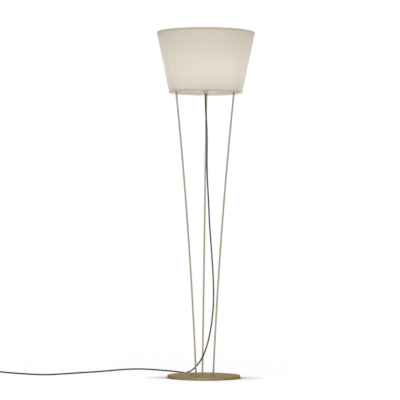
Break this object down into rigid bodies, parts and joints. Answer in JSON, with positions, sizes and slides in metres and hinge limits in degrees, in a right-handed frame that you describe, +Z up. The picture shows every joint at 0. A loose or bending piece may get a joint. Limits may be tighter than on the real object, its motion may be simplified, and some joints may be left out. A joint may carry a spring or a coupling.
{
  "type": "tripod floor lamp",
  "caption": "Floor lamp with a flat round base, bowed metal rods, a tapered fabric drum shade, a bulb, a turn switch and a mains lead coiled on the floor.",
  "frame": {"origin": "on the floor under the middle of the base, measured without the lead's nodes", "axes": "+Z up along the lamp's axis, -Y the front as seen, +X to the viewer's right"},
  "size_m": [1.4905, 0.7571, 1.66],
  "materials": {
    "plate_lacquer": "satin bronze-gold lacquer over steel",
    "rod_lacquer": "satin bronze-gold lacquer over steel rod",
    "spider_lacquer": "satin bronze-gold lacquer",
    "pad": "dark felted rubber",
    "screw_steel": "zinc-plated steel",
    "nipple_steel": "zinc-plated thread",
    "collar_lacquer": "satin bronze lacquer",
    "relief_rubber": "dark grey flexible plastic",
    "lead_sheath": "dark grey flexible sheath",
    "holder_plastic": "cream thermoplastic",
    "insert_ceramic": "glazed insulating insert",
    "contact_brass": "plain brass",
    "knob_plastic": "black moulded plastic",
    "bulb_metal": "nickel-plated screw cap",
    "bulb_plastic": "white moulded collar",
    "opal_glass": "frosted opal glass",
    "shade_fabric": "woven off-white linen-look fabric",
    "shade_lining": "white styrene lining",
    "wire_white": "white powder-coated wire",
    "tie_plastic": "black hook-and-loop strap",
    "plug_plastic": "dark grey moulded plug",
    "pin_brass": "plain brass pins"
  },
  "bodies": {
    "lamp_stand": {"base_plate": "plate_lacquer", "base_pad": "pad", "foot_screws": "screw_steel", "rear_rod": "rod_lacquer", "left_rod": "rod_lacquer", "right_rod": "rod_lacquer", "top_spider": "spider_lacquer", "socket_screws": "screw_steel", "threaded_nipple": "nipple_steel", "lock_nut": "nipple_steel", "gland_collar": "collar_lacquer", "strain_relief": "relief_rubber", "lead_cores": "lead_sheath", "holder_cap": "holder_plastic", "holder_body": "holder_plastic", "holder_insert": "insert_ceramic", "screw_shell": "contact_brass", "centre_contact": "contact_brass", "terminal_screws": "contact_brass", "shade_ring": "holder_plastic", "lead": "lead_sheath", "lead_tail": "lead_sheath", "lead_coil": "lead_sheath", "coil_tie": "tie_plastic", "plug_relief": "relief_rubber", "plug_body": "plug_plastic", "plug_pins": "pin_brass", "fuse_carrier": "plug_plastic"},
    "switch": {"switch_shaft": "contact_brass", "switch_knob": "knob_plastic"},
    "bulb": {"bulb_cap": "bulb_metal", "bulb_collar": "bulb_plastic", "bulb_globe": "opal_glass"},
    "shade": {"shade_cover": "shade_fabric", "shade_lining": "shade_lining", "shade_top_wire": "wire_white", "shade_end_wire": "wire_white", "shade_gallery": "wire_white"}
  },
  "joints": [
    {"name": "shade_turn", "type": "hinge", "parent": "lamp_stand", "child": "shade", "pos_m": [0, 0, 1.4358], "axis": [0, 0, 1], "continuous": true},
    {"name": "switch_turn", "type": "hinge", "parent": "lamp_stand", "child": "switch", "pos_m": [0, 0, 1.4035], "axis": [0.8829, 0.4695, 0], "continuous": true},
    {"name": "bulb_out", "type": "slide", "parent": "lamp_stand", "child": "bulb", "axis": [0, 0, 1], "range_m": [0, 0.03]}
  ]
}
